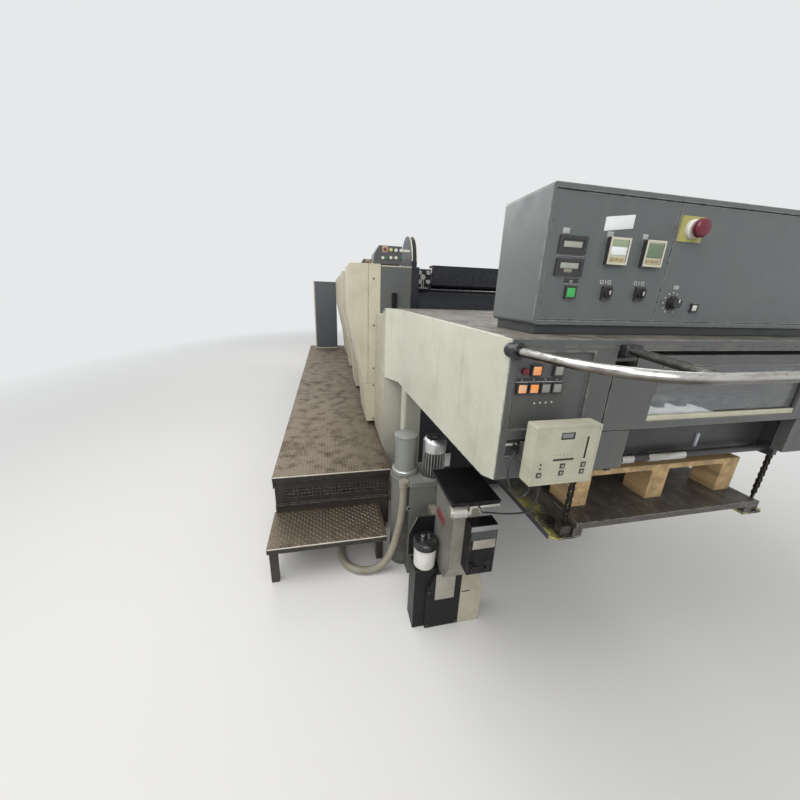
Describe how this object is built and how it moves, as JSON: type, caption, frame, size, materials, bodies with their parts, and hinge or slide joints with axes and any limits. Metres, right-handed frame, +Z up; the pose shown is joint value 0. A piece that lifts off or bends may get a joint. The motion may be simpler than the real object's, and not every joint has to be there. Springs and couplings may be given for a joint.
{
  "type": "offset printing press",
  "caption": "Sheet-fed offset printing press with inking units in a row, an end delivery with pile hoist, guards, a control box, a side walkway and a feeder.",
  "frame": {"origin": "centre of the whole press's plan, on the floor", "axes": "+Y along the press from the delivery to the feeder, +X to the drive side, +Z up"},
  "size_m": [2.563, 8.4562, 1.985],
  "materials": {
    "cream_paint": "satin, grimy",
    "grey_paint": "satin, worn",
    "dark_paint": "satin, oily",
    "blue_grey_paint": "semi-gloss, scuffed",
    "polished_steel": "ground and polished",
    "cast_grey": "satin, dusty",
    "chrome": "bright, a few scratches",
    "black_rubber": "matte",
    "checker_plate": "worn, dirty",
    "controls": "satin",
    "glass": "clear",
    "caution_paint": "worn through, greasy",
    "chain_steel": "greasy",
    "pallet_wood": "rough sawn",
    "white_plastic": "translucent",
    "black_plastic": "satin",
    "hose_plastic": "ribbed, dirty"
  },
  "bodies": {
    "root": {"unit_1_cover": "cream_paint", "unit_2_cover": "cream_paint", "unit_3_cover": "cream_paint", "unit_4_cover": "cream_paint", "unit_faces": "grey_paint", "grab_handles": "black_plastic", "frames_left": "dark_paint", "frames_right": "dark_paint", "plate_cylinders": "polished_steel", "blanket_cylinders": "polished_steel", "ink_rollers": "black_rubber", "ink_fountains": "polished_steel", "inker_panels": "dark_paint", "footboards": "checker_plate", "consoles": "grey_paint", "roller_hoods": "grey_paint", "drive_covers": "cream_paint", "rear_guards": "dark_paint", "side_panel_left": "cream_paint", "side_panel_right": "cream_paint", "delivery_top": "cast_grey", "front_frame": "grey_paint", "end_panels": "grey_paint", "button_panel": "controls", "track_plates": "dark_paint", "handrail": "chrome", "rail_fittings": "black_rubber", "control_box": "blue_grey_paint", "control_panel": "blue_grey_paint", "controller": "controls", "hoist_chains": "chain_steel", "sheet_stop": "chrome", "delivery_columns": "cream_paint", "delivery_bridge": "dark_paint", "pump_housing": "cast_grey", "air_filter": "cast_grey", "blower_motor": "cast_grey", "device_stand": "controls", "tray": "black_plastic", "air_unit": "black_plastic", "powder_pot": "white_plastic", "black_box": "black_plastic", "hose": "hose_plastic", "controller_cable": "black_rubber", "device_cable": "black_rubber", "walkway": "checker_plate", "walkway_legs": "dark_paint", "step": "checker_plate", "riser": "dark_paint", "feeder_sides": "cream_paint", "feed_table": "polished_steel", "suction_head": "dark_paint", "feeder_plate": "checker_plate", "feeder_cabinet": "grey_paint"},
    "unit_guard": {"unit_4_guard": "dark_paint"},
    "end_guard": {"guard": "grey_paint", "guard_window": "glass"},
    "hoist": {"hoist_arms": "caution_paint", "hoist_plate": "checker_plate", "pallet": "pallet_wood"}
  },
  "joints": [
    {"name": "hoist_slide", "type": "slide", "parent": "root", "child": "hoist", "axis": [0, 0, 1], "range_m": [-0.7, 0.045], "deforming": ["hoist_chains"]},
    {"name": "end_guard_hinge", "type": "hinge", "parent": "root", "child": "end_guard", "pos_m": [0.2815, -3.9079, 1.401], "axis": [-1, 0, 0], "range_deg": [0, 68]},
    {"name": "unit_guard_hinge", "type": "hinge", "parent": "root", "child": "unit_guard", "pos_m": [0.2815, -1.9269, 1.552], "axis": [-1, 0, 0], "range_deg": [0, 80]}
  ]
}
